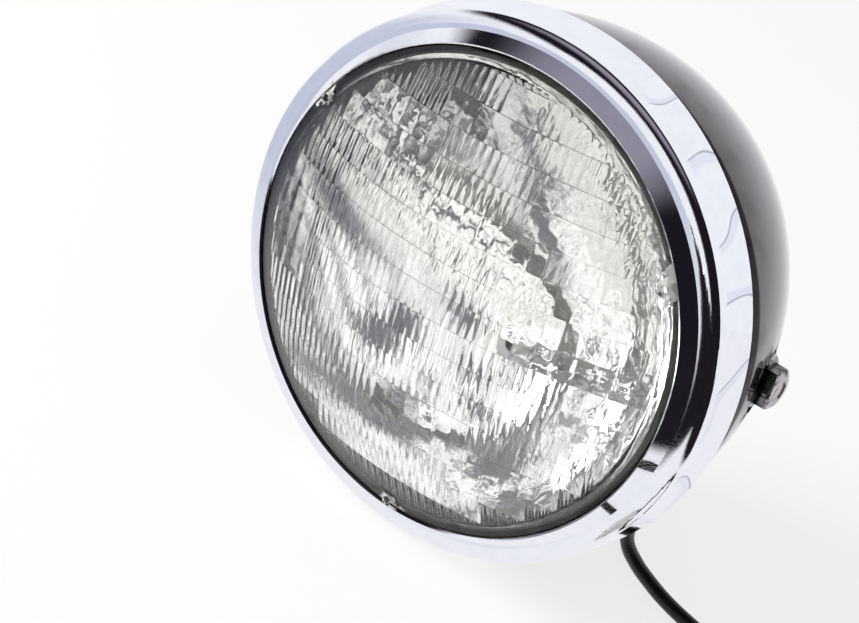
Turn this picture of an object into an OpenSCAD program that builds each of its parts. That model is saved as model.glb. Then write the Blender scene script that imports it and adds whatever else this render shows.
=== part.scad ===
// Seven-inch side-mount motorcycle headlight: a deep black bucket, a bright
// trim ring and a fluted sealed-beam lamp, with its lead and connector.
// The origin is where the lamp's axis crosses the axis of the two side bolts.
// -Y is the way the lamp shines, +X its right side seen from the front, +Z up.
// Profiles are drawn as [radius, depth]; depth 0 is the plane of the trim
// ring's widest line, and grows towards the back of the bucket.

/* [Sealed beam] */
// Radius of the glass rim that seats in the trim ring
beam_r = 89; // [86:0.5:92]
// Width of the smooth sloping rim outside the fluted glass
rim_w = 6.8; // [6:0.1:8]
// Height of the lens dome above its fluted edge
dome_rise = 24; // [16:0.5:30]
// Thickness of the glass
glass_t = 3.6; // [3:0.1:4.5]
// Depth of the reflector bowl behind the seam with the lens
bowl_depth = 62; // [54:0.5:68]
// Width of the fused seam between lens and reflector
seam_w = 7; // [6:0.1:8]
// Thickness of the reflector's rim behind the seam
back_rim_t = 2.5; // [2:0.1:3.5]
// Radius of the flat seat behind the reflector bowl
hub_r = 23; // [20:0.5:26]

// Width of one flute of the lens
flute_w = 3.25; // [2.75:0.25:5]
// Depth of a flute
flute_depth = 0.35; // [0.15:0.05:0.6]
// Depth of the arched face of a plain block, two flutes wide
block_depth = 0.12; // [0:0.02:0.3]
// Height of one row of flutes
row_h = 9.9; // [8:0.1:14]
// Thickening of the glass from the top to the bottom of a row
prism_depth = 0.4; // [0.1:0.05:0.6]
// Height of the row border nearest the lamp's axis
row_at = -1; // [-3:0.1:3]

// Radius of the three small aiming lugs on the rim
lug_r = 1.5; // [1:0.1:1.8]
// Height of an aiming lug above the rim
lug_h = 1.6; // [1:0.1:2.5]

/* [Lamp inside] */
// Radius of a filament coil
filament_r = 0.9; // [0.5:0.1:1.4]
// Length of a filament coil
filament_len = 9; // [6:0.5:12]
// Radius of the wires that hold the filaments
post_r = 0.9; // [0.6:0.1:1.2]
// Height of the dipped filament above the main one
low_up = 3.2; // [2.8:0.1:4.5]
// Radius of the shield cup in front of the filaments
shield_r = 7; // [6:0.5:11]
// Width of a terminal blade
blade_w = 8; // [6.3:0.1:9]
// Thickness of a terminal blade
blade_t = 0.8; // [0.6:0.1:1.2]
// Length of a terminal blade behind the hub
blade_len = 13; // [11:0.5:15]
// Distance of each terminal blade from the lamp's axis
blade_off = 8.5; // [7.5:0.1:10]

/* [Trim ring] */
// How far the trim ring's lip reaches over the glass rim
lip_cover = 2.5; // [2:0.1:3.5]
// Width of the trim ring's face, from lip to widest line
face_w = 10.5; // [9.5:0.1:14]
// Height of the lip above the widest line
face_rise = 9; // [8:0.1:11]
// Width of the rounded outer part of the face
roll_w = 6.4; // [5.5:0.1:7]
// Height of the rounded outer part of the face
roll_h = 4.1; // [3.5:0.1:5]
// Thickness of the trim ring's sheet
trim_t = 0.8; // [0.6:0.05:1]
// Depth of the groove between face and skirt
groove = 0.8; // [0.5:0.05:1]
// Length of the skirt behind the widest line
skirt_len = 18; // [15:0.5:24]
// How far the skirt flares outside the widest line
flare = 2.1; // [1:0.1:4]
// Radius of the rolled rear edge of the skirt
hem_r = 0.8; // [0.7:0.05:1.2]

/* [Bucket] */
// Clearance between the bucket's rolled edge and the inside of the trim ring
seat_gap = 0.3; // [0.2:0.05:0.5]
// Radius of the roll at the bucket's front edge
bead_r = 0.9; // [0.8:0.05:1.2]
// Thickness of the bucket's sheet
wall = 1.2; // [1:0.05:1.6]
// Depth at which the bucket starts to round off
round_from = 22; // [20:0.5:30]
// Length of the rounded part of the bucket
round_len = 112; // [100:1:130]

/* [Side mounts] */
// Distance from the trim ring's widest line back to the side bolts
bolt_depth = 53.5; // [45:0.5:60]
// How far the face of each side pad lies inside the bucket's full radius
pad_sink = 7; // [4:0.05:7.5]
// Radius of each side pad
pad_r = 12; // [12:0.5:16]
// Radius of the side bolt's thread
bolt_r = 5; // [4:0.5:6]
// Distance across the flats of the bolt head
bolt_af = 14; // [12:0.5:18]
// Thickness of the bolt head
head_t = 5.4; // [4:0.1:7]
// Length of the bolt under its head
bolt_len = 22; // [18:0.5:26]
// Radius of the spacer collar under the bolt
collar_r = 10.5; // [9.5:0.1:11.5]
// Thickness of the spacer collar
collar_t = 2.6; // [1.5:0.1:5]
// Radius of the spring washer
spring_r = 8.4; // [7.6:0.1:9.4]
// Thickness of the spring washer
spring_t = 1.4; // [1.2:0.1:2.5]
// Distance across the flats of the nut inside the pad
nut_af = 17; // [15:0.5:19]
// Thickness of the nut inside the pad
nut_t = 7; // [5:0.5:9]

/* [Ring fastening] */
// Thickness of the ring that holds the sealed beam
retainer_t = 1.6; // [1.4:0.1:2]
// Radius of the screws that hold the sealed beam
retain_screw_r = 1.5; // [1.2:0.1:1.6]
// Radius of the bosses that take those screws
boss_r = 2.4; // [2.1:0.1:2.5]
// Radius of the trim ring's bottom screw
trim_screw_r = 2; // [1.5:0.1:2.5]
// Depth of the bottom screw behind the widest line
trim_screw_at = 9.5; // [9:0.5:12]
// Width of the hook at the top of the trim ring
hook_w = 12; // [8:0.5:18]

/* [Lead] */
// Radius of the sheathed lead
lead_r = 2.8; // [2.4:0.1:3.2]
// Depth at which the lead leaves the bucket
exit_depth = 112; // [109:1:114]
// Angle of the lead's exit from straight down
exit_turn = 12; // [8:1:16]
// Length of the grommet's nose outside the bucket
nose_len = 10; // [8:0.5:12]
// Radius of the grommet's flanges
grommet_r = 8; // [7:0.5:9]
// Radius of the grommet's neck in the bucket wall
neck_r = 6; // [5:0.25:6.5]

/* [Hidden] */
$fn = 96;
ARC = 24;          // steps along a drawn curve
FIT = 0.1;         // play of a screw in its hole

// Trim ring and sealed beam
open_r = beam_r - lip_cover;
ring_r = open_r + face_w;
roll_r = ring_r - roll_w;
slope = (face_rise - roll_h) / (face_w - roll_w);
slope_n = sqrt(1 + slope * slope);
gasket_t = 0.7;
skirt_r = ring_r - groove;
skirt_at = 1.5;
hem_at = skirt_len - hem_r;

flute_r = beam_r - rim_w;
bowl_r = beam_r - seam_w;
seam_at = -1.5;
flange_at = seam_at + back_rim_t;

// Depth of the conical faces at a radius: lip, gasket, glass
function lip_face(r) = -face_rise + slope * (r - open_r);
function gasket_face(r) = lip_face(r) + trim_t * slope_n;
function glass_face(r) = gasket_face(r) + gasket_t * slope_n;

rim_r = flute_r + 1.8;
rim_at = glass_face(rim_r);
edge_r = beam_r - 0.6;
flute_at = rim_at - 0.7;
function dome(r) = flute_at - dome_rise * (1 - pow(r / flute_r, 2));
function bowl(r) = seam_at + bowl_depth * (1 - pow(r / bowl_r, 2));
function skirt(d) = skirt_r + (flare + groove) * pow((d - skirt_at) / (skirt_len - skirt_at), 1.5);

// Bucket
bead_at = flange_at + retainer_t + seat_gap + bead_r;
bead_out = skirt(bead_at) - trim_t - seat_gap;
bucket_r = bead_out - bead_r + wall / 2;
bench_z = -(ring_r + flare);
function shell_r(d, in) = (bucket_r - in) * sqrt(max(0, 1 - pow((d - round_from) / (round_len - in), 2)));

// Side mounts
pad_x = bucket_r - pad_sink;
pad_in = pad_x - 5.8;
spring_x = pad_x + collar_t;
head_x = spring_x + spring_t;

// Retaining screws
boss_at = beam_r + 0.3 + boss_r;
boss_base = -roll_h + trim_t + 0.05;
SCREW_TURNS = [90, 210, 330];

// Lead exit, square to the bucket's surface
exit_r = shell_r(exit_depth, 0);
exit_lean = atan2((exit_depth - round_from) / pow(round_len, 2), exit_r / pow(bucket_r, 2));

exit_side = [sin(exit_turn), 0, -cos(exit_turn)];
exit_dir = cos(exit_lean) * exit_side + sin(exit_lean) * [0, 1, 0];
exit_point = exit_r * exit_side + [0, exit_depth - bolt_depth, 0];
nose_end = exit_point + nose_len * exit_dir;
inside_end = exit_point - (wall + 2.4) * exit_dir;

// Route of the lead from the grommet, down to the bench and along it
lay_z = bench_z + lead_r;
ROUTE = [
    [16, 75, -70], [22, 80, -80], [31, 78, -89], [40, 69, -95],
    [46, 57, lay_z], [48, 45, lay_z], [51, 33, lay_z], [57, 22, lay_z], [66, 13.5, lay_z],
    [76, 7, lay_z], [88, 1, lay_z], [100, -3, lay_z], [114, -6.5, lay_z]
];
// Route of the lead inside the bucket, from the socket to the grommet
INNER = [[0, 42, -2], [2, 50, -8], [4, 52, -18], [7, 47, -29], [9, 46, -40]];
// Centre and radius of the lead's coil, the angle at which the lead runs into
// it, and the length of the straight runs into and out of it
COIL = [140, -50];
COIL_R = 33;
IN_TURN = 20;
IN_RUN = 24;
OUT_RUN = 28;

// Shared shapes

// Moves a shape drawn along +Z, front plane at 0, onto the lamp's axis
module on_axis() {
    translate([0, -bolt_depth, 0]) rotate([-90, 0, 0]) children();
}

// A ring turned about the lamp's axis from a [radius, depth] outline
module turned(outline) {
    on_axis() rotate_extrude($fn = 180) polygon(outline);
}

// Points of an ellipse arc from angle a to b
function arc(c, rx, ry, a, b, n = ARC) =
    [for (i = [0:n]) let (t = a + (b - a) * i / n) [c.x + rx * cos(t), c.y + ry * sin(t)]];

function unit(v) = v / norm(v);

// Sweeps a round section of radius r along a route, with given end directions
module swept(path, r, first, last, sides = 10) {
    n = len(path);
    points = [for (i = [0:n - 1])
        let (
            d = unit(i == 0 ? first : i == n - 1 ? last : path[i + 1] - path[i - 1]),
            side = unit(cross(d, [0.2, 0.1, 1])),
            up = cross(side, d)
        )
        for (k = [0:sides - 1]) path[i] + r * (cos(360 * k / sides) * side + sin(360 * k / sides) * up)];
    function at(i, k) = i * sides + k % sides;
    walls = [for (i = [0:n - 2], k = [0:sides - 1], half = [0, 1])
        half == 0 ? [at(i, k), at(i, k + 1), at(i + 1, k + 1)] : [at(i, k), at(i + 1, k + 1), at(i + 1, k)]];
    ends = [[for (k = [sides - 1:-1:0]) at(0, k)], [for (k = [0:sides - 1]) at(n - 1, k)]];
    polyhedron(points, concat(walls, ends));
}

// Children drawn along +Z are stood at the lead's exit, +Z pointing out of the bucket
module at_exit() {
    translate([0, -bolt_depth, 0]) rotate([0, -exit_turn, 0])
        translate([0, exit_depth, -exit_r]) rotate([exit_lean - 180, 0, 0]) children();
}

// A side piece drawn along +Z is put on the bolt axis, on one side
module on_side(side, x) {
    rotate([0, 90 * side, 0]) translate([0, 0, x]) children();
}

// Sealed beam

module lens() {
    front = concat([for (i = [0:ARC]) let (r = flute_r * i / ARC) [r, dome(r)]],
        [[rim_r, rim_at], [edge_r, glass_face(edge_r)], [beam_r, glass_face(beam_r) + 0.3]]);
    color([0.86, 0.88, 0.86, 0.45]) {
        difference() {
            turned(concat(front, [[beam_r, seam_at], [0, seam_at]]));
            on_axis() lens_inside();
            turned([[0, land_at], [bowl_r - 1, land_at], [bowl_r, seam_at], [bowl_r, seam_at + 2], [0, seam_at + 2]]);
        }
        for (a = [30, 150, 270]) aiming_lug(a);
    }
}
land_at = seam_at - 3;

// The hollow behind the glass. Its front is the fluted face: rows of upright
// flutes, each row a shallow prism, with arched blocks where there are no flutes.
// Columns run across the lens, stations down it; each row border has two stations.
module lens_inside() {
    points = concat(
        [for (c = [0:COLUMNS - 1], s = [0:STATIONS - 1]) [column_x(c), -station_z(c, s), face_depth(c, s)]],
        [for (c = [0:COLUMNS - 1]) [column_x(c), -column_end(c), land_at + 1]],
        [for (c = [0:COLUMNS - 1]) [column_x(c), column_end(c), land_at + 1]]);
    top0 = COLUMNS * STATIONS;
    low0 = top0 + COLUMNS;
    function top(c) = top0 + c;
    function low(c) = c == 0 || c == COLUMNS - 1 ? top0 + c : low0 + c;
    fluted = [for (c = [0:COLUMNS - 2], s = [0:STATIONS - 2])
        each whole([[at(c, s), at(c + 1, s), at(c + 1, s + 1)], [at(c, s), at(c + 1, s + 1), at(c, s + 1)]])];
    walls = [for (c = [0:COLUMNS - 2]) each whole([
        [at(c, 0), top(c), top(c + 1)], [at(c, 0), top(c + 1), at(c + 1, 0)],
        [at(c, STATIONS - 1), low(c + 1), low(c)], [at(c, STATIONS - 1), at(c + 1, STATIONS - 1), low(c + 1)]])];
    back = [concat([for (c = [COLUMNS - 1:-1:0]) top(c)], [for (c = [1:COLUMNS - 2]) low(c)])];
    polyhedron(points, concat(fluted, walls, back));
}

// Only the triangles that have three different corners
function whole(faces) = [for (f = faces) if (f[0] != f[1] && f[1] != f[2] && f[2] != f[0]) f];

fluted_r = bowl_r - 2.5;
FLUTE_STEPS = 3;
half_flutes = floor((fluted_r - 0.4) / flute_w);
half_rows = ceil(fluted_r / row_h) + 1;
// Columns beyond the last flute, as angles round the edge of the fluted face
edge_turn = acos(half_flutes * flute_w / fluted_r);
EDGE_TURNS = [0, edge_turn / 3, edge_turn * 2 / 3];
COLUMNS = 2 * half_flutes * FLUTE_STEPS + 1 + 2 * len(EDGE_TURNS);
STATIONS = 4 * half_rows;

// Place of a column across the lens, and its half length
function column_x(c) = let (e = len(EDGE_TURNS))
    c < e ? -fluted_r * cos(EDGE_TURNS[c]) :
    c > COLUMNS - 1 - e ? fluted_r * cos(EDGE_TURNS[COLUMNS - 1 - c]) :
    ((c - e) / FLUTE_STEPS - half_flutes) * flute_w;
function column_end(c) = sqrt(max(0, pow(fluted_r, 2) - pow(column_x(c), 2)));

// Height of the row border that a station lies on, and the row it belongs to:
// the foot of the row above the border, then the head of the row below it
function border(s) = row_at + row_h * (half_rows - 1 - floor(s / 2));
function row_of(s) = half_rows - 1 - floor((s + 1) / 2);

// Stations past a column's ends are drawn in to the edge of the fluted face
function first_in(c) = max([for (s = [0:STATIONS - 1]) if (border(s) > column_end(c) - 0.2) s]);
function last_in(c) = min([for (s = [0:STATIONS - 1]) if (border(s) < 0.2 - column_end(c)) s]);
FIRST = [for (c = [0:COLUMNS - 1]) first_in(c)];
LAST = [for (c = [0:COLUMNS - 1]) column_end(c) == 0 ? FIRST[c] : last_in(c)];
function drawn_in(c, s) = min(max(s, FIRST[c]), LAST[c]);
function at(c, s) = c * STATIONS + drawn_in(c, s);
function station_z(c, s) = s <= FIRST[c] ? column_end(c) : s >= LAST[c] ? -column_end(c) : border(s);

// Blocks without flutes: row, first flute, flute after the last, counted from the middle
PLAIN = [
    [7, -1, 3], [6, -7, 3], [5, -19, -5], [5, 7, 15], [4, -19, -5], [4, 7, 15], [3, -5, 11], [3, 17, 25],
    [2, 7, 25], [1, -25, -19], [1, 9, 25], [0, -25, -17], [0, 9, 25], [-1, -25, -17], [-1, 17, 25],
    [-2, -25, -17], [-2, 17, 25], [-4, -3, 9], [-5, -3, 25], [-6, 7, 15]
];
function is_plain(row, i) = len([for (p = PLAIN) if (p[0] == row && i >= p[1] && i < p[2]) p]) > 0;

// How far a flute or an arched block stands out of the glass
function bulge(c, row) =
    let (t = (c - len(EDGE_TURNS)) / FLUTE_STEPS, i = floor(t) - half_flutes, u = 2 * (t - floor(t)) - 1,
        w = (t - half_flutes + 1) / 2, v = 2 * (w - floor(w)) - 1)
    t < 0 || t > 2 * half_flutes ? 0 :
    is_plain(row, i) ? block_depth * (1 - v * v) : flute_depth * (1 - u * u);
function face_depth(c, s) =
    let (x = column_x(c), z = station_z(c, s), row = row_of(drawn_in(c, s)), head = row_at + row_h * (row + 1))
    dome(norm([x, z])) + glass_t + bulge(c, row) + prism_depth * (head - z) / row_h;

// Small raised point on the rim that an aiming gauge rests on
module aiming_lug(a) {
    on_axis() rotate([0, 0, -a]) translate([flute_r + 0.9, 0, rim_at - 0.35 - lug_h])
        cylinder(h = lug_h + 1.4, r = lug_r, $fn = 24);
}

module reflector() {
    inside = [for (i = [0:ARC]) let (r = bowl_r * i / ARC) [r, bowl(r)]];
    // The outside follows the bowl, one glass thickness behind it
    back = [for (i = [ARC - 1:-1:0])
        let (r = bowl_r * i / ARC, lean = 2 * bowl_depth * r / (bowl_r * bowl_r), n = sqrt(1 + lean * lean))
        if (r + glass_t * lean / n > hub_r) [r + glass_t * lean / n, bowl(r) + glass_t / n]];
    color([0.8, 0.81, 0.82]) turned(concat(inside, [[beam_r, seam_at], [beam_r, flange_at],
        [bowl_r + glass_t - 0.8, flange_at]], back, [[hub_r, bowl(hub_r) + glass_t], [hub_r, hub_at], [0, hub_at]]));
}
hub_at = bowl(hub_r) + glass_t + 3;

// Filament height above the lamp's axis, and depth of the focus
focus_at = seam_at + bowl_depth - bowl_r * bowl_r / (4 * bowl_depth);

module filament(up) {
    on_axis() translate([-filament_len / 2, -up, focus_at]) rotate([0, 90, 0])
        cylinder(h = filament_len, r = filament_r, $fn = 32);
}
module filament_high() { color([0.45, 0.42, 0.4]) filament(0); }
module filament_low() { color([0.45, 0.42, 0.4]) filament(low_up); }

// A wire that stands on the bowl and reaches forward to the end of a filament
module filament_post(side, up) {
    x = side * (filament_len / 2 + post_r);
    reach = bowl(norm([x, up]) + post_r) - focus_at + 1.2 - 0.1;
    on_axis() translate([x, -up, focus_at - 1.2]) cylinder(h = reach, r = post_r, $fn = 32);
}
module filament_post_high() { color([0.6, 0.6, 0.62]) filament_post(1, 0); }
module filament_post_low() { color([0.6, 0.6, 0.62]) filament_post(1, low_up); }
// The shared wire ends in a bar across both filaments
module filament_post_common() {
    color([0.6, 0.6, 0.62]) {
        filament_post(-1, low_up / 2);
        on_axis() translate([-filament_len / 2 - post_r * 1.6, -low_up - filament_r, focus_at - 1])
            cube([post_r * 1.6, low_up + 2 * filament_r, 2]);
    }
}

// Small cup in front of the filaments, on a stem from the bowl
module filament_shield() {
    stem = shield_r + 3;
    color([0.5, 0.5, 0.52]) on_axis() {
        translate([0, 0, focus_at - 9]) difference() {
            cylinder(h = 5, r = shield_r, $fn = 48);
            translate([0, 0, 0.8]) cylinder(h = 5, r = shield_r - 0.8, $fn = 48);
        }
        translate([-1.2, shield_r - 0.6, focus_at - 9]) cube([2.4, 1, bowl(shield_r + 0.6) - focus_at + 9 - 0.1]);
    }
}

// Terminals and socket

module terminal(a) {
    color([0.78, 0.72, 0.5]) on_axis() rotate([0, 0, a]) translate([-blade_w / 2, blade_off, hub_at])
        cube([blade_w, blade_t, blade_len]);
}
module terminal_top() { terminal(180); }
module terminal_left() { terminal(90); }
module terminal_right() { terminal(-90); }

socket_w = 2 * (blade_off + blade_t + 2.6);
socket_at = hub_at + 1.5;
socket_len = blade_len + 4;
module socket() {
    color([0.12, 0.12, 0.13]) on_axis() difference() {
        union() {
            translate([-socket_w / 2, -socket_w / 2, socket_at]) cube([socket_w, socket_w * 0.8, socket_len]);
            translate([0, 0, socket_at]) cylinder(h = socket_len + 3, r = lead_r + 2, $fn = 48);
        }
        for (a = [180, 90, -90]) rotate([0, 0, a])
            translate([-blade_w / 2 - 0.1, blade_off - 0.1, hub_at]) cube([blade_w + 0.2, blade_t + 0.2, blade_len + 0.3]);
    }
}
socket_end = [0, socket_at + socket_len + 3 - bolt_depth, 0];

// Trim ring and what holds the beam

module trim_ring() {
    // Where the inside of the lip's cone meets the inside of the roll
    valley_r = open_r + (face_rise - roll_h + trim_t - trim_t * slope_n) / slope;
    face = concat([[open_r, lip_face(open_r)], [roll_r, lip_face(roll_r)]],
        arc([roll_r, 0], roll_w, roll_h, -84, 0), [[ring_r - 0.1, 0.5], [skirt_r, skirt_at]]);
    skirt_out = [for (i = [1:ARC]) let (d = skirt_at + (hem_at - skirt_at) * i / ARC) [skirt(d) - 0.001, d]];
    hem = arc([skirt(hem_at) - hem_r, hem_at], hem_r, hem_r, 15, 180, 10);
    skirt_in = [for (i = [ARC - 2:-1:1]) let (d = skirt_at + (hem_at - skirt_at) * i / ARC) [skirt(d) - trim_t, d]];
    face_in = concat([[skirt_r - trim_t, skirt_at + 0.2], [ring_r - trim_t - 0.2, 0.3]],
        arc([roll_r, 0], roll_w - trim_t, roll_h - trim_t, 0, -84),
        [[valley_r, trim_t - roll_h], [open_r - trim_t * slope / slope_n, lip_face(open_r) + trim_t / slope_n]]);
    color([0.84, 0.85, 0.88]) {
        difference() {
            union() {
                turned(concat(face, skirt_out, hem, skirt_in, face_in));
                for (a = SCREW_TURNS) on_boss(a)
                    translate([0, 0, boss_base]) cylinder(h = flange_at - boss_base, r = boss_r, $fn = 48);
                // Flat pressed into the skirt under the bottom screw's head
                bottom_screw_line() translate([0, 0, skirt(trim_screw_at) - trim_t])
                    cylinder(h = trim_seat - skirt(trim_screw_at) + trim_t, r = trim_head_r + 0.6, $fn = 48);
            }
            bottom_screw_line() translate([0, 0, trim_seat]) cylinder(h = 10, r = trim_head_r + 0.6, $fn = 48);
            for (a = SCREW_TURNS) on_boss(a)
                translate([0, 0, boss_base + 0.8]) cylinder(h = flange_at - boss_base, r = retain_screw_r + 0.05, $fn = 32);
            bottom_screw_line() cylinder(h = 2 * ring_r, r = trim_screw_r + FIT, $fn = 32);
        }
        // Hook that catches behind the bucket's rolled edge
        translate([-hook_w / 2, hook_at - bolt_depth, bucket_r - wall - 1.5])
            cube([hook_w, hook_t, skirt(hook_at) - bucket_r + wall + 1.5 - trim_t / 2]);
    }
}
hook_t = 1.2;
hook_at = bead_at + bead_r + 1.6;

// Stands children on the face plane where a retaining screw goes
module on_boss(a) {
    on_axis() rotate([0, 0, a]) translate([boss_at, 0, 0]) children();
}

// Lays children along -Z, from the lamp's axis down to the bottom screw
module bottom_screw_line() {
    translate([0, trim_screw_at - bolt_depth, 0]) rotate([180, 0, 0]) children();
}

module gasket() {
    inner = open_r + 0.5;
    outer = edge_r;
    color([0.07, 0.07, 0.07]) turned([
        [inner, gasket_face(inner)], [outer, gasket_face(outer)], [outer, glass_face(outer)], [inner, glass_face(inner)]
    ]);
}

module retaining_ring() {
    inner = bowl_r + glass_t - 0.4;
    outer = boss_at + boss_r + 0.3;
    color([0.6, 0.61, 0.63]) difference() {
        turned([
            [inner, flange_at], [outer, flange_at], [outer, flange_at + retainer_t], [inner, flange_at + retainer_t]
        ]);
        for (a = SCREW_TURNS) on_boss(a) translate([0, 0, flange_at]) {
            translate([0, 0, -1]) cylinder(h = retainer_t + 2, r = retain_screw_r + FIT, $fn = 32);
            translate([0, 0, retainer_t - head_drop]) cylinder(h = head_drop, r1 = retain_screw_r + FIT, r2 = head_r + FIT, $fn = 32);
        }
    }
}
head_r = retain_screw_r * 1.7;
head_drop = head_r - retain_screw_r;

// Countersunk screw that clamps the sealed beam into the trim ring
module retaining_screw(a) {
    color([0.7, 0.7, 0.72]) on_boss(a) {
        translate([0, 0, boss_base + 1]) cylinder(h = flange_at + retainer_t - head_drop - boss_base - 0.9, r = retain_screw_r, $fn = 32);
        translate([0, 0, flange_at + retainer_t - head_drop]) difference() {
            cylinder(h = head_drop, r1 = retain_screw_r, r2 = head_r, $fn = 32);
            translate([-head_r, -0.35, head_drop - 0.5]) cube([2 * head_r, 0.7, 1]);
        }
    }
}
module retaining_screw_1() { retaining_screw(SCREW_TURNS[0]); }
module retaining_screw_2() { retaining_screw(SCREW_TURNS[1]); }
module retaining_screw_3() { retaining_screw(SCREW_TURNS[2]); }

// Low-headed screw that draws the trim ring onto the bucket at the bottom
module trim_screw() {
    color([0.8, 0.8, 0.82]) bottom_screw_line() difference() {
        union() {
            translate([0, 0, nut_out - trim_nut_t - 1])
                cylinder(h = trim_seat - nut_out + trim_nut_t + 1.1, r = trim_screw_r, $fn = 32);
            translate([0, 0, trim_seat]) cylinder(h = 1.2, r1 = trim_head_r, r2 = trim_head_r - 0.8, $fn = 48);
        }
        for (t = [0, 90]) rotate([0, 0, t]) translate([-2, -0.4, trim_seat + 0.6]) cube([4, 0.8, 2]);
    }
}
trim_head_r = trim_screw_r * 1.6;
trim_seat = skirt(trim_screw_at + trim_head_r) - 0.1;
trim_nut_t = 3.2;
nut_out = bucket_r - wall - 0.2;
module trim_nut() {
    color([0.6, 0.6, 0.62]) bottom_screw_line() translate([0, 0, nut_out - trim_nut_t]) difference() {
        cylinder(h = trim_nut_t, r = trim_screw_r * 2, $fn = 6);
        translate([0, 0, -1]) cylinder(h = trim_nut_t + 2, r = trim_screw_r + 0.03, $fn = 32);
    }
}

// Bucket

module bucket() {
    steps = 36;
    // Even steps of angle round the elliptical bowl
    outer = [for (i = [0:steps]) let (t = 90 * i / steps) [bucket_r * cos(t), round_from + round_len * sin(t)]];
    inner = [for (i = [steps:-1:0]) let (t = 90 * i / steps)
        [(bucket_r - wall) * cos(t), round_from + (round_len - wall) * sin(t)]];
    edge = arc([bucket_r - wall / 2, bead_at], bead_r, bead_r, 130, 410, 20);
    color([0.05, 0.05, 0.055]) difference() {
        union() {
            turned(concat(edge, outer, inner));
            // Pads pressed inward, within the bucket's outer face
            intersection() {
                turned(concat([[0, round_from]], outer));
                union() for (s = [-1, 1]) on_side(s, pad_in) cylinder(h = 20, r = pad_r + 1.5);
            }
        }
        for (s = [-1, 1]) {
            on_side(s, pad_x) cylinder(h = 20, r = pad_r);
            on_side(s, pad_in - 10) cylinder(h = 40, r = bolt_r + 0.5);
        }
        bottom_screw_line() translate([0, 0, bucket_r / 2]) cylinder(h = bucket_r, r = trim_screw_r + FIT, $fn = 32);
        translate([-hook_w / 2 - 1, hook_at - 0.4 - bolt_depth, bucket_r - 8]) cube([hook_w + 2, hook_t + 0.8, 16]);
        at_exit() translate([0, 0, -wall - 6]) cylinder(h = wall + 12, r = neck_r + 0.1, $fn = 64);
    }
}

// Side mounts

// Hexagon of a given size across its flats
module hexagon(af, h) {
    rotate([0, 0, 30]) cylinder(h = h, r = af / sqrt(3), $fn = 6);
}

module bolt(side) {
    corner = bolt_af / sqrt(3);
    color([0.06, 0.06, 0.065]) on_side(side, 0) {
        difference() {
            translate([0, 0, head_x]) intersection() {
                hexagon(bolt_af, head_t);
                // Chamfered crown of the head
                union() {
                    cylinder(h = head_t - 1.2, r = corner + 1);
                    translate([0, 0, head_t - 1.2]) cylinder(h = 1.2, r1 = corner + 0.2, r2 = corner + 0.2 - 2);
                }
            }
            // Shallow dish in the head's face
            translate([0, 0, head_x + head_t - 0.5]) cylinder(h = 1, r1 = bolt_af * 0.3, r2 = bolt_af * 0.38);
        }
        translate([0, 0, head_x - bolt_len]) cylinder(h = bolt_len + 0.5, r = bolt_r - 0.05);
        translate([0, 0, head_x - bolt_len - 1]) cylinder(h = 1, r1 = bolt_r - 1, r2 = bolt_r - 0.05);
    }
}
module bolt_right() { bolt(1); }
module bolt_left() { bolt(-1); }

module collar(side) {
    color([0.07, 0.07, 0.075]) on_side(side, pad_x) difference() {
        union() {
            cylinder(h = collar_t - 0.5, r = collar_r);
            translate([0, 0, collar_t - 0.5]) cylinder(h = 0.5, r1 = collar_r, r2 = collar_r - 0.5);
        }
        translate([0, 0, -1]) cylinder(h = collar_t + 2, r = bolt_r + 0.3);
    }
}
module collar_right() { collar(1); }
module collar_left() { collar(-1); }

// Split spring washer, pressed flat under the bolt head
module spring_washer(side) {
    color([0.09, 0.09, 0.095]) on_side(side, spring_x) difference() {
        cylinder(h = spring_t, r = spring_r);
        translate([0, 0, -1]) cylinder(h = spring_t + 2, r = bolt_r + 0.2);
        rotate([0, 0, 40]) translate([0, 0, spring_t / 2]) rotate([25, 0, 0]) translate([0, -0.35, -5]) cube([20, 0.7, 10]);
    }
}
module spring_washer_right() { spring_washer(1); }
module spring_washer_left() { spring_washer(-1); }

// Nut welded behind the side pad
module pad_nut(side) {
    color([0.5, 0.5, 0.52]) on_side(side, pad_in - nut_t) difference() {
        hexagon(nut_af, nut_t);
        translate([0, 0, -1]) cylinder(h = nut_t + 2, r = bolt_r);
    }
}
module pad_nut_right() { pad_nut(1); }
module pad_nut_left() { pad_nut(-1); }

// Lead

module grommet() {
    color([0.06, 0.06, 0.06]) at_exit() rotate_extrude($fn = 64) polygon([
        [0, -wall - 2.4], [grommet_r - 1, -wall - 2.4], [grommet_r - 0.5, -wall - 1.9], [grommet_r - 0.5, -wall - 0.4],
        [neck_r, -wall - 0.4], [neck_r, 0.5], [grommet_r, 0.5], [grommet_r, 1.8],
        [grommet_r - 1, 2.6], [lead_r + 2, 3.6], [lead_r + 0.7, nose_len - 0.6], [lead_r + 0.2, nose_len], [0, nose_len]
    ]);
}

module inner_lead() {
    color([0.06, 0.06, 0.06]) swept(concat([socket_end], INNER, [inside_end]), lead_r, [0, 1, 0], exit_dir, 8);
}

module cord() {
    color([0.05, 0.05, 0.05]) swept(concat([nose_end], ROUTE, [coil_in]), lead_r, exit_dir,
        [cos(IN_TURN), -sin(IN_TURN), 0], 10);
}
coil_in = [COIL.x + COIL_R * sin(IN_TURN) - IN_RUN * cos(IN_TURN),
    COIL.y + COIL_R * cos(IN_TURN) + IN_RUN * sin(IN_TURN), lay_z];

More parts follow.
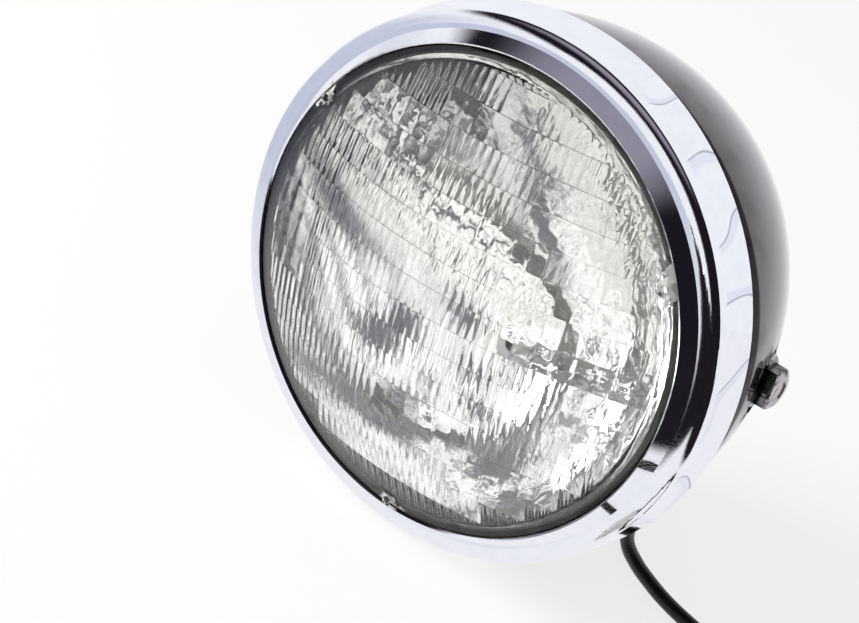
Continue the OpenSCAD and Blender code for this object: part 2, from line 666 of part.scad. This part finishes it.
// Outer shape of the loose coil, with the short straight runs into and out of it
pile = 2 * lead_r + 0.1;
module cord_coil() {
    color([0.05, 0.05, 0.05]) {
        translate([COIL.x, COIL.y, bench_z + 0.2]) rotate_extrude() translate([COIL_R - lead_r - 0.4, 0])
            square([2 * lead_r + 0.8, 2 * lead_r + pile]);
        translate(coil_in) rotate([0, 90, -IN_TURN]) cylinder(h = IN_RUN, r = lead_r, $fn = 48);
        translate(coil_out) rotate([0, 90, 0]) cylinder(h = OUT_RUN, r = lead_r, $fn = 48);
    }
}
coil_out = [COIL.x - OUT_RUN, COIL.y - COIL_R, lay_z + pile];

// Connector on the end of the lead

plug_l = 26;
plug_w = 22;
plug_h = 2 * (coil_out.z - bench_z);
module connector() {
    color([0.82, 0.82, 0.8]) translate([coil_out.x, coil_out.y, bench_z]) difference() {
        union() {
            translate([-plug_l, -plug_w / 2, 0]) cube([plug_l - 4, plug_w, plug_h]);
            translate([-4.5, -plug_w / 2 + 3, 1.5]) cube([4.5, plug_w - 6, plug_h - 3]);
            // Latch tongue on the top
            translate([-plug_l + 3, -3, plug_h - 0.5]) cube([12, 6, 2]);
        }
        // Mouth with the three pins
        translate([-plug_l - 1, -plug_w / 2 + 1.6, 1.6]) cube([13, plug_w - 3.2, plug_h - 3.2]);
    }
}

module connector_pin(y) {
    color([0.8, 0.74, 0.5]) translate([coil_out.x - plug_l + 5, coil_out.y + y - 2, bench_z + plug_h / 2 - 0.4])
        cube([7, 4, 0.8]);
}
module connector_pin_1() { connector_pin(-6); }
module connector_pin_2() { connector_pin(0); }
module connector_pin_3() { connector_pin(6); }

trim_ring();
gasket();
lens();
reflector();
filament_high();
filament_low();
filament_post_common();
filament_post_high();
filament_post_low();
filament_shield();
terminal_top();
terminal_left();
terminal_right();
retaining_ring();
retaining_screw_1();
retaining_screw_2();
retaining_screw_3();
trim_screw();
trim_nut();
bucket();
bolt_right();
bolt_left();
collar_right();
collar_left();
spring_washer_right();
spring_washer_left();
pad_nut_right();
pad_nut_left();
socket();
inner_lead();
grommet();
cord();
cord_coil();
connector();
connector_pin_1();
connector_pin_2();
connector_pin_3();
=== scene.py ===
"""Looks of a seven-inch side-mount motorcycle headlight: chromed trim ring, fluted
glass over a mirrored bowl, gloss black bucket, black side bolts and a black lead.
The lamp shines along -Y, +X is its right side seen from the front, and +Z is up."""
import math

import bpy
from mathutils import Matrix, Vector


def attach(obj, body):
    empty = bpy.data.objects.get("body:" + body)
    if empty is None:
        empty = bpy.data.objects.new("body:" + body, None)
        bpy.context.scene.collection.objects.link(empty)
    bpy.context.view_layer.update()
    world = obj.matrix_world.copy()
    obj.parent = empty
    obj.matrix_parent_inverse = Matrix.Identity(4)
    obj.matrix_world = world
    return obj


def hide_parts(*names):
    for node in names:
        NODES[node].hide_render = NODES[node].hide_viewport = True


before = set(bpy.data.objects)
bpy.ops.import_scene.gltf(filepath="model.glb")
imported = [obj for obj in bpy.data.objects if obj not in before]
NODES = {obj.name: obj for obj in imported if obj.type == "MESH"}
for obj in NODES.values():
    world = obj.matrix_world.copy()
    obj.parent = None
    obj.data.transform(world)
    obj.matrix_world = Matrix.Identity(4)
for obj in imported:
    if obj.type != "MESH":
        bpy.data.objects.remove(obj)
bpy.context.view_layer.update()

# Sizes in metres, the same as the part's source
BENCH = -0.0991          # level of the bench the lamp stands on
RING_FRONT = -0.0535     # plane of the trim ring's widest line
SEAM_R = 0.0798          # where the glass's fused seam begins
HEM = -0.0355            # where the ring's skirt ends over the bucket
BOLT_FACE = 0.0966       # how far out the flat faces of the side bolts lie
LEAD_R = 0.0028
LAY = BENCH + LEAD_R     # the lead's middle where it lies on the bench
PILE = 0.0057            # the second turn of the coil above the first
NOSE_END = (0.01312, 0.06603, -0.06170)
ROUTE = [
    (0.016, 0.075, -0.070), (0.022, 0.080, -0.080), (0.031, 0.078, -0.089), (0.040, 0.069, -0.095),
    (0.046, 0.057, LAY), (0.048, 0.045, LAY), (0.051, 0.033, LAY), (0.057, 0.022, LAY), (0.066, 0.0135, LAY),
    (0.076, 0.007, LAY), (0.088, 0.001, LAY), (0.100, -0.003, LAY), (0.114, -0.0065, LAY),
]
COIL = (0.140, -0.050)
COIL_R = 0.033
IN_TURN = math.radians(20)
IN_RUN = 0.024
OUT_RUN = 0.028
TURNS = math.radians(520)   # how far the lead winds round the coil
CLIMB_FROM = 265            # degrees round the coil where the lead starts to climb on its first turn
CLIMB_OVER = 65             # degrees that the climb takes

# Sizes in metres of what only this script has
WELD = 0.000002          # points closer than this are joined
STRAP_AT = math.radians(-14)
STRAP_WIDE = 0.006
STRAP_THICK = 0.0006
STRAP_EDGE = 0.0002
STRAP_SLACK = 0.0003     # room between the strap and the lead's sides
STRAP_PULL = 0.0001      # how far the strap presses into the two turns
BENCH_SIDE = 12

# Pieces that come in sets
SCREWS = [f"retaining_screw_{i}" for i in (1, 2, 3)]
POSTS = [f"filament_post_{end}" for end in ("common", "high", "low")]
BLADES = [f"terminal_{place}" for place in ("top", "left", "right")]
PINS = [f"connector_pin_{i}" for i in (1, 2, 3)]
SIDE_FIXINGS = [
    f"{piece}_{side}" for piece in ("bolt", "collar", "spring_washer") for side in ("right", "left")]


# Camera

def set_camera():
    """The photograph's viewpoint: in front of the lamp, above it and to its +X side."""
    camera = bpy.data.objects.new("camera", bpy.data.cameras.new("camera"))
    bpy.context.scene.collection.objects.link(camera)
    right = Vector((0.76903, 0.57476, 0.27973))
    up = Vector((-0.46367, 0.20034, 0.86306))
    back = Vector((0.44001, -0.79342, 0.42056))
    eye = Vector((0.33701, -0.68479, 0.31937))
    turn = Matrix((right, up, back)).transposed().to_4x4()
    camera.matrix_world = Matrix.Translation(eye) @ turn
    camera.data.sensor_width = 36
    camera.data.lens = 95.54
    camera.data.clip_start, camera.data.clip_end = 0.05, 50
    bpy.context.scene.camera = camera


# Lead

def lead_points():
    """The lead's whole route: out of the grommet, down to the bench, along it and round the coil."""
    start = (COIL[0] + COIL_R * math.sin(IN_TURN) - IN_RUN * math.cos(IN_TURN),
             COIL[1] + COIL_R * math.cos(IN_TURN) + IN_RUN * math.sin(IN_TURN), LAY)
    points = [NOSE_END, *ROUTE, start]
    steps = 26
    for i in range(steps + 1):
        turned = TURNS * i / steps
        angle = math.pi / 2 - IN_TURN - turned
        climb = min(max((math.degrees(turned) - CLIMB_FROM) / CLIMB_OVER, 0), 1)
        height = LAY + PILE * climb * climb * (3 - 2 * climb)
        points.append((COIL[0] + COIL_R * math.cos(angle), COIL[1] + COIL_R * math.sin(angle), height))
    last = points[-1]
    points.append((last[0] - OUT_RUN / 2, last[1], last[2]))
    points.append((last[0] - OUT_RUN, last[1], last[2]))
    return points


def make_lead():
    """The sheathed lead as one round curve."""
    line = bpy.data.curves.new("lead", "CURVE")
    line.dimensions = "3D"
    line.bevel_depth = 1     # each knot's own radius gives the thickness
    line.bevel_resolution = 5
    line.resolution_u = 8
    line.use_fill_caps = True
    points = lead_points()
    spline = line.splines.new("BEZIER")
    spline.bezier_points.add(len(points) - 1)
    for knot, place in zip(spline.bezier_points, points):
        knot.co = place
        knot.radius = LEAD_R
        knot.handle_left_type = knot.handle_right_type = "AUTO"
    lead = bpy.data.objects.new("lead", line)
    bpy.context.scene.collection.objects.link(lead)
    return lead


# Modelling helpers

def only(piece):
    """Selects one object and makes it active."""
    bpy.ops.object.select_all(action="DESELECT")
    piece.select_set(True)
    bpy.context.view_layer.objects.active = piece


def keep_place(piece):
    """Puts the object's place into its mesh."""
    only(piece)
    bpy.ops.object.transform_apply(location=True, rotation=True, scale=True)


def smooth_copy(name, angle):
    """A copy of a CAD node, with its triangles joined and its curves shaded smooth."""
    piece = bpy.data.objects.new(name + "_skin", NODES[name].data.copy())
    bpy.context.scene.collection.objects.link(piece)
    only(piece)
    bpy.ops.object.mode_set(mode="EDIT")
    bpy.ops.mesh.select_all(action="SELECT")
    bpy.ops.mesh.remove_doubles(threshold=WELD)
    bpy.ops.object.mode_set(mode="OBJECT")
    bpy.ops.object.shade_smooth_by_angle(angle=math.radians(angle))
    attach(piece, "root")
    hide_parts(name)
    return piece


def make_coil_tie():
    """A soft strap round the two stacked turns of the coil."""
    bpy.ops.object.select_all(action="DESELECT")
    bpy.ops.mesh.primitive_cylinder_add(
        vertices=32, radius=1, depth=STRAP_WIDE, end_fill_type="NOTHING",
        location=(0, 0, 0), rotation=(math.pi / 2, 0, 0))
    tie = bpy.context.object
    tie.name = "coil_tie"
    keep_place(tie)
    tie.scale = (LEAD_R + STRAP_SLACK, 1, LEAD_R + PILE / 2 - STRAP_PULL)
    tie.rotation_euler = (0, 0, STRAP_AT)
    tie.location = (COIL[0] + COIL_R * math.cos(STRAP_AT), COIL[1] + COIL_R * math.sin(STRAP_AT),
                    LAY + PILE / 2 + STRAP_SLACK)
    keep_place(tie)
    wall = tie.modifiers.new("wall", "SOLIDIFY")
    wall.thickness = STRAP_THICK
    wall.offset = 1
    edge = tie.modifiers.new("edge", "BEVEL")
    edge.width = STRAP_EDGE
    edge.segments = 2
    for modifier in ("wall", "edge"):
        bpy.ops.object.modifier_apply(modifier=modifier)
    bpy.ops.object.shade_smooth_by_angle(angle=math.radians(35))
    return tie


# Finishes

class Amount:
    """A number that varies over a surface. Sums on it add the nodes that work them out."""

    def __init__(self, finish, socket):
        self.finish, self.socket = finish, socket

    def sum(self, kind, *others, swap=False):
        parts = [self, *others]
        if swap:
            parts[0], parts[1] = parts[1], parts[0]
        node = self.finish.node("ShaderNodeMath", {"operation": kind}, dict(enumerate(parts)))
        return Amount(self.finish, node.outputs[0])

    def __add__(self, other): return self.sum("ADD", other)
    def __sub__(self, other): return self.sum("SUBTRACT", other)
    def __rsub__(self, other): return self.sum("SUBTRACT", other, swap=True)
    def __mul__(self, other): return self.sum("MULTIPLY", other)
    def above(self, other): return self.sum("GREATER_THAN", other)
    def below(self, other): return self.sum("LESS_THAN", other)
    def highest(self, other): return self.sum("MAXIMUM", other)
    def size(self): return self.sum("ABSOLUTE")
    def root(self): return self.sum("SQRT")
    def bearing(self, other): return self.sum("ARCTAN2", other)
    def sine(self): return self.sum("SINE")
    def fraction(self): return self.sum("FRACT")

    def rise(self, low, high):
        """0 at low and 1 at high, with a soft turn between. Low may be the larger number."""
        node = self.finish.node("ShaderNodeMapRange", {"interpolation_type": "SMOOTHSTEP"},
                                {"Value": self, "From Min": low, "From Max": high})
        return Amount(self.finish, node.outputs[0])


class Finish:
    """A material or the world, built from nodes."""

    def __init__(self, name, holder=None):
        self.holder = holder or bpy.data.materials.new(name)
        self.holder.use_nodes = True
        self.tree = self.holder.node_tree
        self.tree.nodes.clear()

    def node(self, kind, settings=None, sockets=None):
        made = self.tree.nodes.new(kind)
        for name, value in (settings or {}).items():
            setattr(made, name, value)
        for name, value in (sockets or {}).items():
            target = made.inputs[name]
            if isinstance(value, Amount):
                self.tree.links.new(value.socket, target)
            elif isinstance(value, bpy.types.NodeSocket):
                self.tree.links.new(value, target)
            elif isinstance(value, tuple) and len(value) == 3 and target.type == "RGBA":
                target.default_value = (*value, 1)
            else:
                target.default_value = value
        return made

    def place(self):
        """The surface's own coordinates, in metres."""
        return self.node("ShaderNodeTexCoord").outputs["Object"]

    def along(self, vector):
        """X, Y and Z of a vector as three amounts."""
        split = self.node("ShaderNodeSeparateXYZ", sockets={0: vector})
        return [Amount(self, out) for out in split.outputs]

    def noise(self, scale, detail, rough, at=None):
        made = self.node("ShaderNodeTexNoise", sockets={
            "Vector": at or self.place(), "Scale": scale, "Detail": detail, "Roughness": rough})
        return Amount(self, made.outputs[0])

    def cells(self, scale, feature="F1", at=None):
        made = self.node("ShaderNodeTexVoronoi", {"feature": feature}, {
            "Vector": at or self.place(), "Scale": scale})
        return Amount(self, made.outputs[0])

    def stretched(self, scale, turn=(0, 0, 0)):
        """The surface's own coordinates, scaled and turned."""
        return self.node("ShaderNodeMapping", sockets={
            "Vector": self.place(), "Scale": scale, "Rotation": turn}).outputs[0]

    def rays(self, kind):
        """1 for one kind of light path, such as Glossy, and 0 for the others."""
        return Amount(self, self.node("ShaderNodeLightPath").outputs[f"Is {kind} Ray"])

    def blend(self, share, first, second):
        mix = self.node("ShaderNodeMix", {"data_type": "RGBA"}, {0: share, 6: first, 7: second})
        return mix.outputs[2]

    def bump(self, height):
        """Relief whose height is given in metres."""
        return self.node("ShaderNodeBump", sockets={
            "Height": height, "Distance": 1.0, "Strength": 1.0}).outputs[0]

    def shader(self, **sockets):
        """The principled shader; _ in a name stands for a space."""
        named = {key.replace("_", " "): value for key, value in sockets.items()}
        return self.node("ShaderNodeBsdfPrincipled", sockets=named).outputs[0]

    def mixed(self, share, first, second):
        """Two shaders, mixed."""
        return self.node("ShaderNodeMixShader", sockets={0: share, 1: first, 2: second}).outputs[0]

    def show(self, shader):
        self.tree.links.new(shader, self.node("ShaderNodeOutputMaterial").inputs[0])
        return self.holder

    def surface(self, **sockets):
        return self.show(self.shader(**sockets))


def chrome():
    """Bright nickel-chrome plate, with faint ripples of polishing, a few hairline scratches, and painted
    reflections on the skirt: thin lavender streaks with dark edges.
    """
    bright, dull = (0.90, 0.91, 0.94), (0.86, 0.872, 0.91)
    # Tones of the painted reflection: lavender streaks on the skirt and their dark edges
    reflection_streak_tone, dark_reflection_tone = (0.72, 0.73, 0.86), (0.30, 0.30, 0.38)
    ripple_height, haze_height, scratch_depth = 0.00022, 0.000004, 0.0000015
    skirt_from, skirt_to, skirt_side = RING_FRONT + 0.003, RING_FRONT + 0.006, 0.03
    streak_levels = 9
    f = Finish("chrome")
    ripple = f.noise(scale=38, detail=2, rough=0.5)
    haze = f.noise(scale=160, detail=3, rough=0.6)
    cracks = f.cells(scale=900, feature="DISTANCE_TO_EDGE", at=f.stretched((1, 0.06, 1), (0.4, 0.7, 0.2)))
    scratch = 1 - cracks.rise(0.0, 0.03)
    height = ripple * ripple_height + haze * haze_height - scratch * scratch_depth
    x, y, _ = f.along(f.place())
    # Painted reflection on the skirt: thin wavy lavender streaks with dark edges, standing for surroundings
    # seen in the chrome, drawn where a broad wave crosses set levels
    skirt = y.rise(skirt_from, skirt_to) * x.above(skirt_side)
    streak_wave = f.noise(scale=26, detail=2, rough=0.5, at=f.stretched((1, 0.45, 0.55), (0.5, 0.2, 0.0)))
    level = (streak_wave * streak_levels).fraction()
    reflection_streak = level.rise(0.30, 0.42) * level.rise(0.62, 0.60) * skirt
    rim = level.rise(0.57, 0.60) * level.rise(0.65, 0.62) * skirt
    plate = f.blend(haze.rise(0.35, 0.75), bright, dull)
    # Painted reflection: the lavender streaks and their dark edges are tinted into the plate
    plate = f.blend(reflection_streak * 0.6, plate, reflection_streak_tone)
    plate = f.blend(rim * 0.7, plate, dark_reflection_tone)
    return f.surface(
        Base_Color=plate, Metallic=1.0, Roughness=haze * 0.03 + scratch * 0.05 + 0.025, Normal=f.bump(height))


def mirror_coat():
    """Vacuum-plated mirror of the bowl."""
    bright, dull = (0.94, 0.94, 0.93), (0.89, 0.895, 0.90)
    ripple_height, grain_height = 0.0005, 0.000004
    f = Finish("mirror_coat")
    ripple = f.noise(scale=60, detail=3, rough=0.5)
    grain = f.noise(scale=900, detail=2, rough=0.6)
    return f.surface(
        Base_Color=f.blend(grain.rise(0.3, 0.8), bright, dull), Metallic=0.87, Roughness=grain * 0.04 + 0.03,
        Normal=f.bump(ripple * ripple_height + grain * grain_height))


def lens_glass():
    """Pressed glass, almost neutral, with the waves and seeds of moulding."""
    clear, tinted = (0.989, 0.991, 0.985), (0.976, 0.979, 0.972)
    bright, dull = (0.86, 0.86, 0.82), (0.62, 0.62, 0.58)
    wave_height, seed_height = 0.00012, 0.00001
    f = Finish("lens_glass")
    wave = f.noise(scale=120, detail=2, rough=0.5)
    seeds = 1 - f.cells(scale=420).rise(0.05, 0.16)
    skin = f.bump(wave * wave_height + seeds * seed_height)
    glass = f.shader(
        Base_Color=f.blend(wave.rise(0.3, 0.8), clear, tinted),
        Roughness=seeds * 0.02, Transmission_Weight=1.0, IOR=1.5, Normal=skin)
    silver = f.shader(
        Base_Color=f.blend(wave.rise(0.35, 0.7), bright, dull),
        Metallic=0.2, Roughness=wave * 0.2 + 0.25, Normal=skin)
    # The fused seam at the rim is silvered on its back and its outer edge
    x, _, z = f.along(f.place())
    nx, ny, nz = f.along(f.node("ShaderNodeTexCoord").outputs["Normal"])
    faces_back = ny.above(0.3)
    faces_out = (nx * nx + nz * nz).root().above(0.7)
    at_seam = (x * x + z * z).root().above(SEAM_R)
    return f.show(f.mixed(faces_back.highest(faces_out) * at_seam, glass, silver))


def black_gloss():
    """Stoved black enamel: deep gloss, faint orange peel, a little dust, and a painted shade line under the
    ring's hem.
    """
    dusty, black = (0.04, 0.04, 0.042), (0.005, 0.0048, 0.006)
    # The painted shade strip under the hem: where it ends, where the gloss coat begins, and its slant
    shade_strip_to, gloss_from, slant = HEM + 0.0150, HEM + 0.0165, 0.09
    peel_height = 0.000012
    f = Finish("black_gloss")
    peel = f.noise(scale=420, detail=2, rough=0.5)
    dust = f.cells(scale=700).rise(0.0, 0.10)
    cloud = f.noise(scale=30, detail=3, rough=0.6)
    _, y, z = f.along(f.place())
    # Painted shade under the ring's hem: the gloss coat is left off a strip at the hem, which narrows towards
    # the top, so a dark line shows there
    coat = (y + z.highest(0) * slant).rise(shade_strip_to, gloss_from)
    return f.surface(
        Base_Color=f.blend(dust, dusty, black), Specular_IOR_Level=0.04,
        Roughness=cloud * 0.06 + 0.12, Coat_Weight=coat, Coat_Roughness=0.03,
        Normal=f.bump(peel * peel_height))


def black_hardware():
    """Black oxide steel, lighter on its edges and on the flat faces of the bolts."""
    black, brown = (0.008, 0.007, 0.009), (0.030, 0.018, 0.024)
    face_tone, edge_tone = (0.50, 0.46, 0.48), (0.42, 0.40, 0.41)
    grain_height = 0.00001
    f = Finish("black_hardware")
    grain = f.noise(scale=1500, detail=3, rough=0.6)
    patch = f.noise(scale=260, detail=3, rough=0.6)
    edge = Amount(f, f.node("ShaderNodeNewGeometry").outputs["Pointiness"]).rise(0.52, 0.60)
    x, _, _ = f.along(f.place())
    face = x.size().rise(BOLT_FACE - 0.0001, BOLT_FACE + 0.0003) * patch.rise(0.30, 0.50)
    tone = f.blend(patch.rise(0.45, 0.65), black, brown)
    tone = f.blend(face, tone, face_tone)
    return f.surface(
        Base_Color=f.blend(edge * patch.rise(0.35, 0.6), tone, edge_tone),
        Metallic=0.9, Roughness=grain * 0.10 + patch * 0.08 + 0.08, Normal=f.bump(grain * grain_height))


def plated_steel(name, bright, dull, rough, scale):
    """Plated or plain metal, with drawn grain and a slight bloom."""
    grain_height = 0.00002
    f = Finish(name)
    grain = f.noise(scale, detail=3, rough=0.6, at=f.stretched((1, 1, 6)))
    bloom = f.noise(scale=130, detail=3, rough=0.6)
    return f.surface(
        Base_Color=f.blend(bloom.rise(0.35, 0.7), bright, dull), Metallic=1.0,
        Roughness=grain * 0.18 + bloom * 0.10 + rough, Normal=f.bump(grain * grain_height))


def moulded(name, dark, light, rough, scale, skin_height):
    """Moulded rubber or plastic with a fine skin and scuffed tone."""
    f = Finish(name)
    skin = f.noise(scale, detail=2, rough=0.6)
    scuff = f.noise(scale=90, detail=4, rough=0.65)
    return f.surface(
        Base_Color=f.blend(scuff.rise(0.4, 0.75), dark, light),
        Roughness=skin * 0.15 + scuff * 0.12 + rough, Normal=f.bump(skin * skin_height))


def lead_sheath():
    """Black sheath of the lead, with the faint lay of the cores under it."""
    black, scuffed = (0.006, 0.006, 0.007), (0.014, 0.014, 0.016)
    turns_along, turns_round = 230, 3
    lay_height, skin_height = 0.000005, 0.000005
    f = Finish("cord_black")
    u, v, _ = f.along(f.node("ShaderNodeTexCoord").outputs["UV"])
    lay = ((u * turns_along + v * turns_round) * (2 * math.pi)).sine()
    skin = f.noise(scale=1400, detail=2, rough=0.6)
    scuff = f.noise(scale=120, detail=4, rough=0.65)
    return f.surface(
        Base_Color=f.blend(scuff.rise(0.45, 0.8), black, scuffed), Roughness=scuff * 0.12 + 0.30,
        Specular_IOR_Level=0.22, Normal=f.bump(lay * lay_height + skin * skin_height))


def strap_weave():
    """Woven hook strap."""
    black, worn = (0.012, 0.012, 0.013), (0.035, 0.035, 0.037)
    threads = 9000
    weave_height, fuzz_height = 0.00008, 0.00005
    f = Finish("strap_weave")
    x, _, z = f.along(f.place())
    weave = (x * threads).sine() * (z * threads).sine()
    fuzz = f.noise(scale=2200, detail=3, rough=0.7)
    return f.surface(
        Base_Color=f.blend(weave.rise(-0.3, 0.6), black, worn), Roughness=fuzz * 0.2 + 0.65,
        Sheen_Weight=0.3, Normal=f.bump(weave * weave_height + fuzz * fuzz_height))


FINISHES = {
    "chrome": (chrome(), ["trim_ring", "trim_screw"]),
    "lens_glass": (lens_glass(), ["lens"]),
    "mirror_coat": (mirror_coat(), ["reflector"]),
    "black_gloss": (black_gloss(), ["bucket"]),
    "black_hardware": (black_hardware(), SIDE_FIXINGS),
    "zinc_steel": (
        plated_steel("zinc_steel", (0.62, 0.63, 0.64), (0.50, 0.50, 0.47), rough=0.22, scale=900),
        ["retaining_ring", *SCREWS, "trim_nut", "pad_nut_right", "pad_nut_left", *POSTS, "filament_shield"]),
    "filament_wire": (
        plated_steel("filament_wire", (0.32, 0.29, 0.27), (0.22, 0.20, 0.19), rough=0.35, scale=2600),
        ["filament_high", "filament_low"]),
    "brass_blade": (
        plated_steel("brass_blade", (0.72, 0.58, 0.30), (0.55, 0.42, 0.22), rough=0.20, scale=1200),
        [*BLADES, *PINS]),
    "rubber_black": (
        moulded("rubber_black", (0.016, 0.016, 0.017), (0.04, 0.04, 0.04), rough=0.45, scale=1300,
                skin_height=0.00005),
        ["gasket", "grommet"]),
    "socket_black": (
        moulded("socket_black", (0.02, 0.02, 0.022), (0.045, 0.045, 0.045), rough=0.35, scale=1800,
                skin_height=0.00002),
        ["socket"]),
    "plug_white": (
        moulded("plug_white", (0.72, 0.71, 0.66), (0.60, 0.59, 0.53), rough=0.28, scale=1500,
                skin_height=0.00002),
        ["connector"]),
    "cord_black": (lead_sheath(), ["inner_lead"]),
}


def dress(piece, finish):
    piece.data.materials.clear()
    piece.data.materials.append(finish)


# Light and surroundings

def set_world():
    """White to the camera, soft light on the lamp, and a room that bright metal and glass see."""
    white, soft = (1.0, 1.0, 1.0), (0.40, 0.405, 0.41)
    walls, unlit = (0.95, 0.955, 1.0), (0.010, 0.009, 0.013)
    roof, far_side = (0.42, 0.40, 0.50), (0.62, 0.65, 0.77)
    bright, bright_gap = (2.05, 2.05, 2.03), (1.6, 1.6, 1.6)
    shade, post = (0.16, 0.16, 0.19), (0.04, 0.04, 0.05)
    flash = (9.0, 9.0, 9.2)
    posts = 30
    tube_x, tube_z, tube_apart, tube_squash = 0.20, -0.10, 0.055, 2.5
    scene = bpy.context.scene
    scene.view_settings.view_transform = "Standard"
    scene.world = bpy.data.worlds.new("studio")
    f = Finish("studio", scene.world)
    way = f.node("ShaderNodeTexCoord").outputs["Generated"]
    x, y, z = f.along(way)
    # An unlit opening over the bench, between the white sweep behind the lamp and the lit front of the room
    opening = y.rise(-0.90, -0.84) * y.rise(0.36, 0.27) * (x * 0.62 + z * 0.79).rise(-0.12, 0.06)
    ceiling = z.rise(0.66, 0.90) * y.rise(0.0, -0.24)
    side = x.rise(-0.45, -0.85) * z.rise(0.5, 0.1) * y.rise(0.35, 0.1)
    room = f.blend(opening, walls, unlit)
    room = f.blend(ceiling * 0.7, room, roof)
    room = f.blend(side, room, far_side)
    # Through the lens the room is brighter than white, with dim patches and dark uprights
    upright = (x.bearing(y) * posts).sine().rise(0.66, 0.84)
    dim = f.noise(scale=2.6, detail=2, rough=0.5, at=way).rise(0.54, 0.60)
    hall = f.blend(opening, bright, bright_gap)
    hall = f.blend(dim, hall, shade)
    hall = f.blend(upright, hall, post)
    # Two small flash tubes in front of the lamp, which the dome of the lens shows
    aside = x - tube_x
    off = (z - tube_z).size() - tube_apart
    tubes = (aside * aside + off * off * tube_squash).root().rise(0.055, 0.035) * y.below(0)
    room = f.blend(tubes, room, flash)
    light = f.blend(f.rays("Glossy"), soft, room)
    light = f.blend(f.rays("Transmission"), light, hall)
    light = f.blend(f.rays("Camera"), light, white)
    glow = f.node("ShaderNodeBackground", sockets={"Color": light, "Strength": 1.0})
    f.tree.links.new(glow.outputs[0], f.node("ShaderNodeOutputWorld").inputs[0])


def make_bench():
    """A pale bench that takes the lamp's shadow. Metal and glass see a white sheet on it that ends."""
    paper, lifted_by = (0.20, 0.20, 0.20), 0.785
    white, near = (1, 1, 1), (0.92, 0.92, 0.95)
    far, bare = (0.60, 0.63, 0.76), (0.012, 0.010, 0.014)
    bright, joint = (1.6, 1.6, 1.55), (0.05, 0.05, 0.06)
    spokes, rings = 30, 70
    bpy.ops.object.select_all(action="DESELECT")
    bpy.ops.mesh.primitive_plane_add(size=BENCH_SIDE, location=(0, 0, BENCH))
    floor = bpy.context.object
    floor.name = "bench"
    keep_place(floor)
    f = Finish("bench_white")
    x, y, _ = f.along(f.place())
    out = (x * x + y * y).root()
    through = f.rays("Transmission")
    diffuse = f.node("ShaderNodeBsdfDiffuse", sockets={"Color": paper})
    lift = f.node("ShaderNodeEmission", sockets={"Color": white, "Strength": lifted_by})
    shown = f.node("ShaderNodeAddShader", sockets={0: diffuse.outputs[0], 1: lift.outputs[0]})
    to_right = x.rise(0.19, 0.22) * (y - x * 0.20 + 0.02).rise(0.02, 0.0)
    in_front = y.rise(-0.20, -0.23) * x.rise(-0.02, 0.03)
    away = out.rise(0.14, 0.42) * x.rise(0.05, -0.15) * y.rise(0.30, 0.15)
    sheet = f.blend(away, near, far)
    sheet = f.blend(to_right.highest(in_front), sheet, bare)
    joints = (x.bearing(y) * spokes).sine().rise(0.85, 0.95).highest((out * rings).sine().rise(0.88, 0.96))
    sheet = f.blend(through, sheet, f.blend(joints, bright, joint))
    mirrored = f.node("ShaderNodeEmission", sockets={"Color": sheet, "Strength": 1.0})
    dress(floor, f.show(f.mixed(f.rays("Glossy").highest(through), shown.outputs[0], mirrored.outputs[0])))


def make_key_light():
    """One large soft lamp, high at the front left. Bright metal doesn't show it."""
    key = bpy.data.objects.new("key_light", bpy.data.lights.new("key_light", "AREA"))
    bpy.context.scene.collection.objects.link(key)
    key.location = (-1.3, -0.9, 1.1)
    key.rotation_euler = (Vector((0, 0, 0)) - key.location).to_track_quat("-Z", "Y").to_euler()
    key.data.size = 1.2
    key.data.energy = 40
    key.visible_glossy = False


# The whole lamp

set_camera()
lead = make_lead()
bucket = smooth_copy("bucket", 9)
bowl = smooth_copy("reflector", 15)
lens = smooth_copy("lens", 24)
tie = make_coil_tie()
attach(lead, "root")
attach(tie, "root")
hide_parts("cord", "cord_coil")

for finish, names in FINISHES.values():
    for name in names:
        dress(NODES[name], finish)
for piece, slot in (bucket, "black_gloss"), (bowl, "mirror_coat"), (lens, "lens_glass"), (lead, "cord_black"):
    dress(piece, FINISHES[slot][0])
dress(tie, strap_weave())

set_world()
make_bench()
make_key_light()

bpy.context.view_layer.update()
